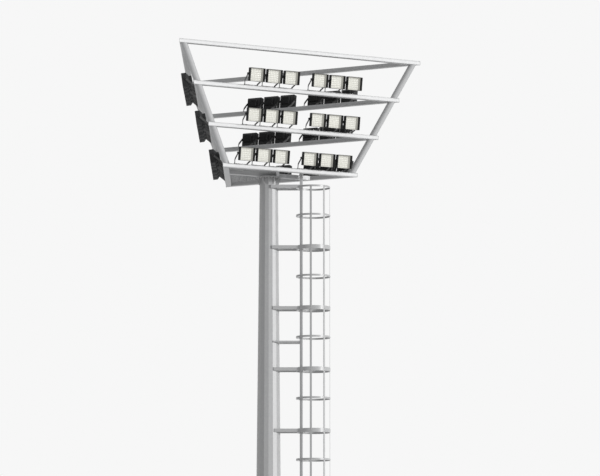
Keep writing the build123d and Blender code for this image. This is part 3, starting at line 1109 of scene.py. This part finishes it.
# triangle-key locks in the door's own frame, x across, y up and z out: a cup with a key in it
def doorLocks(sizes):
    lock = gathered([turned(sizes["lock"], 24), turned(sizes["key"], 3)])
    rise = sizes["height"] / 2 - sizes["lockInset"]
    spots = [moved(sizes["lockX"], side * rise, sizes["face"]) for side in (-1, 1)]
    return repeated(lock, spots)


# hinge barrels in the same frame: rounded at both ends and parted by a groove at the middle
def doorHinges(sizes):
    radius, half = sizes["hinge"][0], sizes["hinge"][1] / 2
    end = [(radius, 0.0008), (radius, half - 0.001), (radius * 0.8, half)]
    profile = [(reach, -z) for reach, z in end[::-1]] + [(radius * 0.85, 0)] + end
    x, z = -sizes["width"] / 2 - 0.003, sizes["face"] + 0.004
    spots = [pointing((0, 1, 0), (x, side * sizes["hingeY"], z)) for side in (-1, 1)]
    return repeated(turned(profile, 14), spots)


doorTurn = math.radians(door["turn"])
out = outward(doorTurn)
doorRise = (0, 0, door["sill"] + door["height"] / 2)
doorSpot = out * wallReach(mast, doorTurn, door["sill"]) + doorRise
doorPlace = placed((-out[1], out[0], 0), (0, 0, 1), out, doorSpot)
for name, surface in (("doorLocks", doorLocks(door)), ("doorHinges", doorHinges(door))):
    addPiece(name, repeated(surface, [doorPlace]), "mast_steel", finish="bolts")

arm = {
    "back": 0.6512,
    "y": 0.200,
    "wide": 0.040,
    "tall": 0.070,
    "corner": 0.005,
    "count": 9,
    "sunk": 0.012,
    "copeShare": 0.8,
    "bead": 0.0035,
    "splice": (8.850, 0.034),
}


# bracket arm of hollow section: each corner of its outline ends where it meets the mast's round,
# but no nearer the axis than a share of what its inner side reaches
def armSurface(sizes, y, height, tall):
    outline = roundedOutline(sizes["wide"], tall, sizes["corner"]) + (y, height)
    wall = wallReach(mast, 0.0, height)
    near = math.sqrt(wall**2 - (sizes["y"] - sizes["wide"] / 2) ** 2)
    met = np.sqrt(np.maximum(wall**2 - outline[:, 0] ** 2, 0))
    coped = np.maximum(met, sizes["copeShare"] * near) - sizes["sunk"]
    back = np.full(len(outline), sizes["back"])
    return skinOver([np.c_[x, outline] for x in (coped, back)])


# a bead round the arm's end at the stile
def armBead(sizes, y, height, tall):
    half, rise = sizes["wide"] / 2, tall / 2
    turns = [(-1, 1), (-1, -1), (1, -1), (1, 1), (-1, 1)]
    loop = [(sizes["back"], y + side * half, height + up * rise) for side, up in turns]
    return bead(loop, sizes["bead"], (1, 0, 0))


armLevels = [(cage["topZ"] - index * cage["pitch"], arm["tall"]) for index in range(arm["count"])]
armRuns = [(side * arm["y"], *level) for level in [*armLevels, arm["splice"]] for side in (-1, 1)]
bars = gathered([armSurface(arm, *run) for run in armRuns])
armBeads = gathered([armBead(arm, *run) for run in armRuns])
addPiece("bracketArms", bars, "ladder_steel", ["ladder_brackets"])
addPiece("bracketWelds", armBeads, "ladder_steel", finish="welds")
print("mast fittings made")


# 1 for camera, mirror and glass rays, which see the surround itself, and 0 for rays that light
def seeingRays(nodes, links):
    ray = nodes.new("ShaderNodeLightPath")
    highest = ray.outputs["Is Camera Ray"]
    for kind in ("Is Transmission Ray", "Is Glossy Ray"):
        either = nodes.new("ShaderNodeMath")
        either.operation = "MAXIMUM"
        links.new(highest, either.inputs[0])
        links.new(ray.outputs[kind], either.inputs[1])
        highest = either.outputs[0]
    return highest


surround = {"seen": 0.93, "ambient": 0.33}


# camera, mirror and glass rays see a pale surround; the object is lit by a softer one, a touch blue
def makeWorld(values):
    seen, ambient = values["seen"], values["ambient"]
    world = bpy.data.worlds.new("studio")
    bpy.context.scene.world = world
    world.use_nodes = True
    nodes, links = world.node_tree.nodes, world.node_tree.links
    backdrop = nodes["Background"]
    backdrop.inputs["Color"].default_value = (seen, seen, seen, 1)
    lamp = nodes.new("ShaderNodeBackground")
    lamp.inputs["Color"].default_value = (ambient * 0.99, ambient, ambient * 1.01, 1)
    mix = nodes.new("ShaderNodeMixShader")
    links.new(seeingRays(nodes, links), mix.inputs[0])
    links.new(lamp.outputs[0], mix.inputs[1])
    links.new(backdrop.outputs[0], mix.inputs[2])
    links.new(mix.outputs[0], nodes["World Output"].inputs["Surface"])


ground = {"reach": 400, "shade": 0.75, "glow": 0.21, "seenGlow": 0.50}


# a pale floor that glows a little more to the eye and in reflections than to the object above it
def makeFloor(values):
    reach, shade = float(values["reach"]), values["shade"]
    corners = [(-reach, -reach, 0), (reach, -reach, 0), (reach, reach, 0), (-reach, reach, 0)]
    mesh = bpy.data.meshes.new("floor")
    mesh.from_pydata(corners, [], [(0, 1, 2, 3)])
    floor = linked("floor", mesh)
    material = bpy.data.materials.new("floorPale")
    material.use_nodes = True
    nodes, links = material.node_tree.nodes, material.node_tree.links
    shader = nodes["Principled BSDF"]
    shader.inputs["Base Color"].default_value = (shade, shade, shade, 1)
    shader.inputs["Roughness"].default_value = 1.0
    shader.inputs["Specular IOR Level"].default_value = 0.0
    shader.inputs["Emission Color"].default_value = (1, 1, 1, 1)
    glow = nodes.new("ShaderNodeMapRange")
    links.new(seeingRays(nodes, links), glow.inputs["Value"])
    glow.inputs["To Min"].default_value = values["glow"]
    glow.inputs["To Max"].default_value = values["seenGlow"]
    links.new(glow.outputs[0], shader.inputs["Emission Strength"])
    mesh.materials.append(material)


sun = {"strength": 2.0, "azimuth": 60.0, "elevation": 8.0, "spread": 7.0}


# a low soft sun from the right, so that faces halfway to it shine
def makeSun(values):
    data = bpy.data.lights.new("keySun", "SUN")
    data.energy = values["strength"]
    data.angle = math.radians(values["spread"])
    lamp = linked("keySun", data)
    tip, turn = math.radians(90 - values["elevation"]), math.radians(values["azimuth"])
    lamp.rotation_euler = (tip, 0, turn)


view = {"place": (0.655, -78.804, 1.65), "rise": 6.801, "lens": 226.96}


# a long lens at eye level, tipped up to the head
def makeCamera(values):
    data = bpy.data.cameras.new("viewCamera")
    data.sensor_width = 36
    data.lens = values["lens"]
    data.clip_start = 1
    data.clip_end = 2000
    camera = linked("viewCamera", data)
    camera.location = values["place"]
    camera.rotation_euler = (math.radians(90 + values["rise"]), 0, 0)
    bpy.context.scene.camera = camera


makeWorld(surround)
makeFloor(ground)
makeSun(sun)
makeCamera(view)
bpy.context.scene.view_settings.view_transform = "Standard"
print("stage, light and camera made")
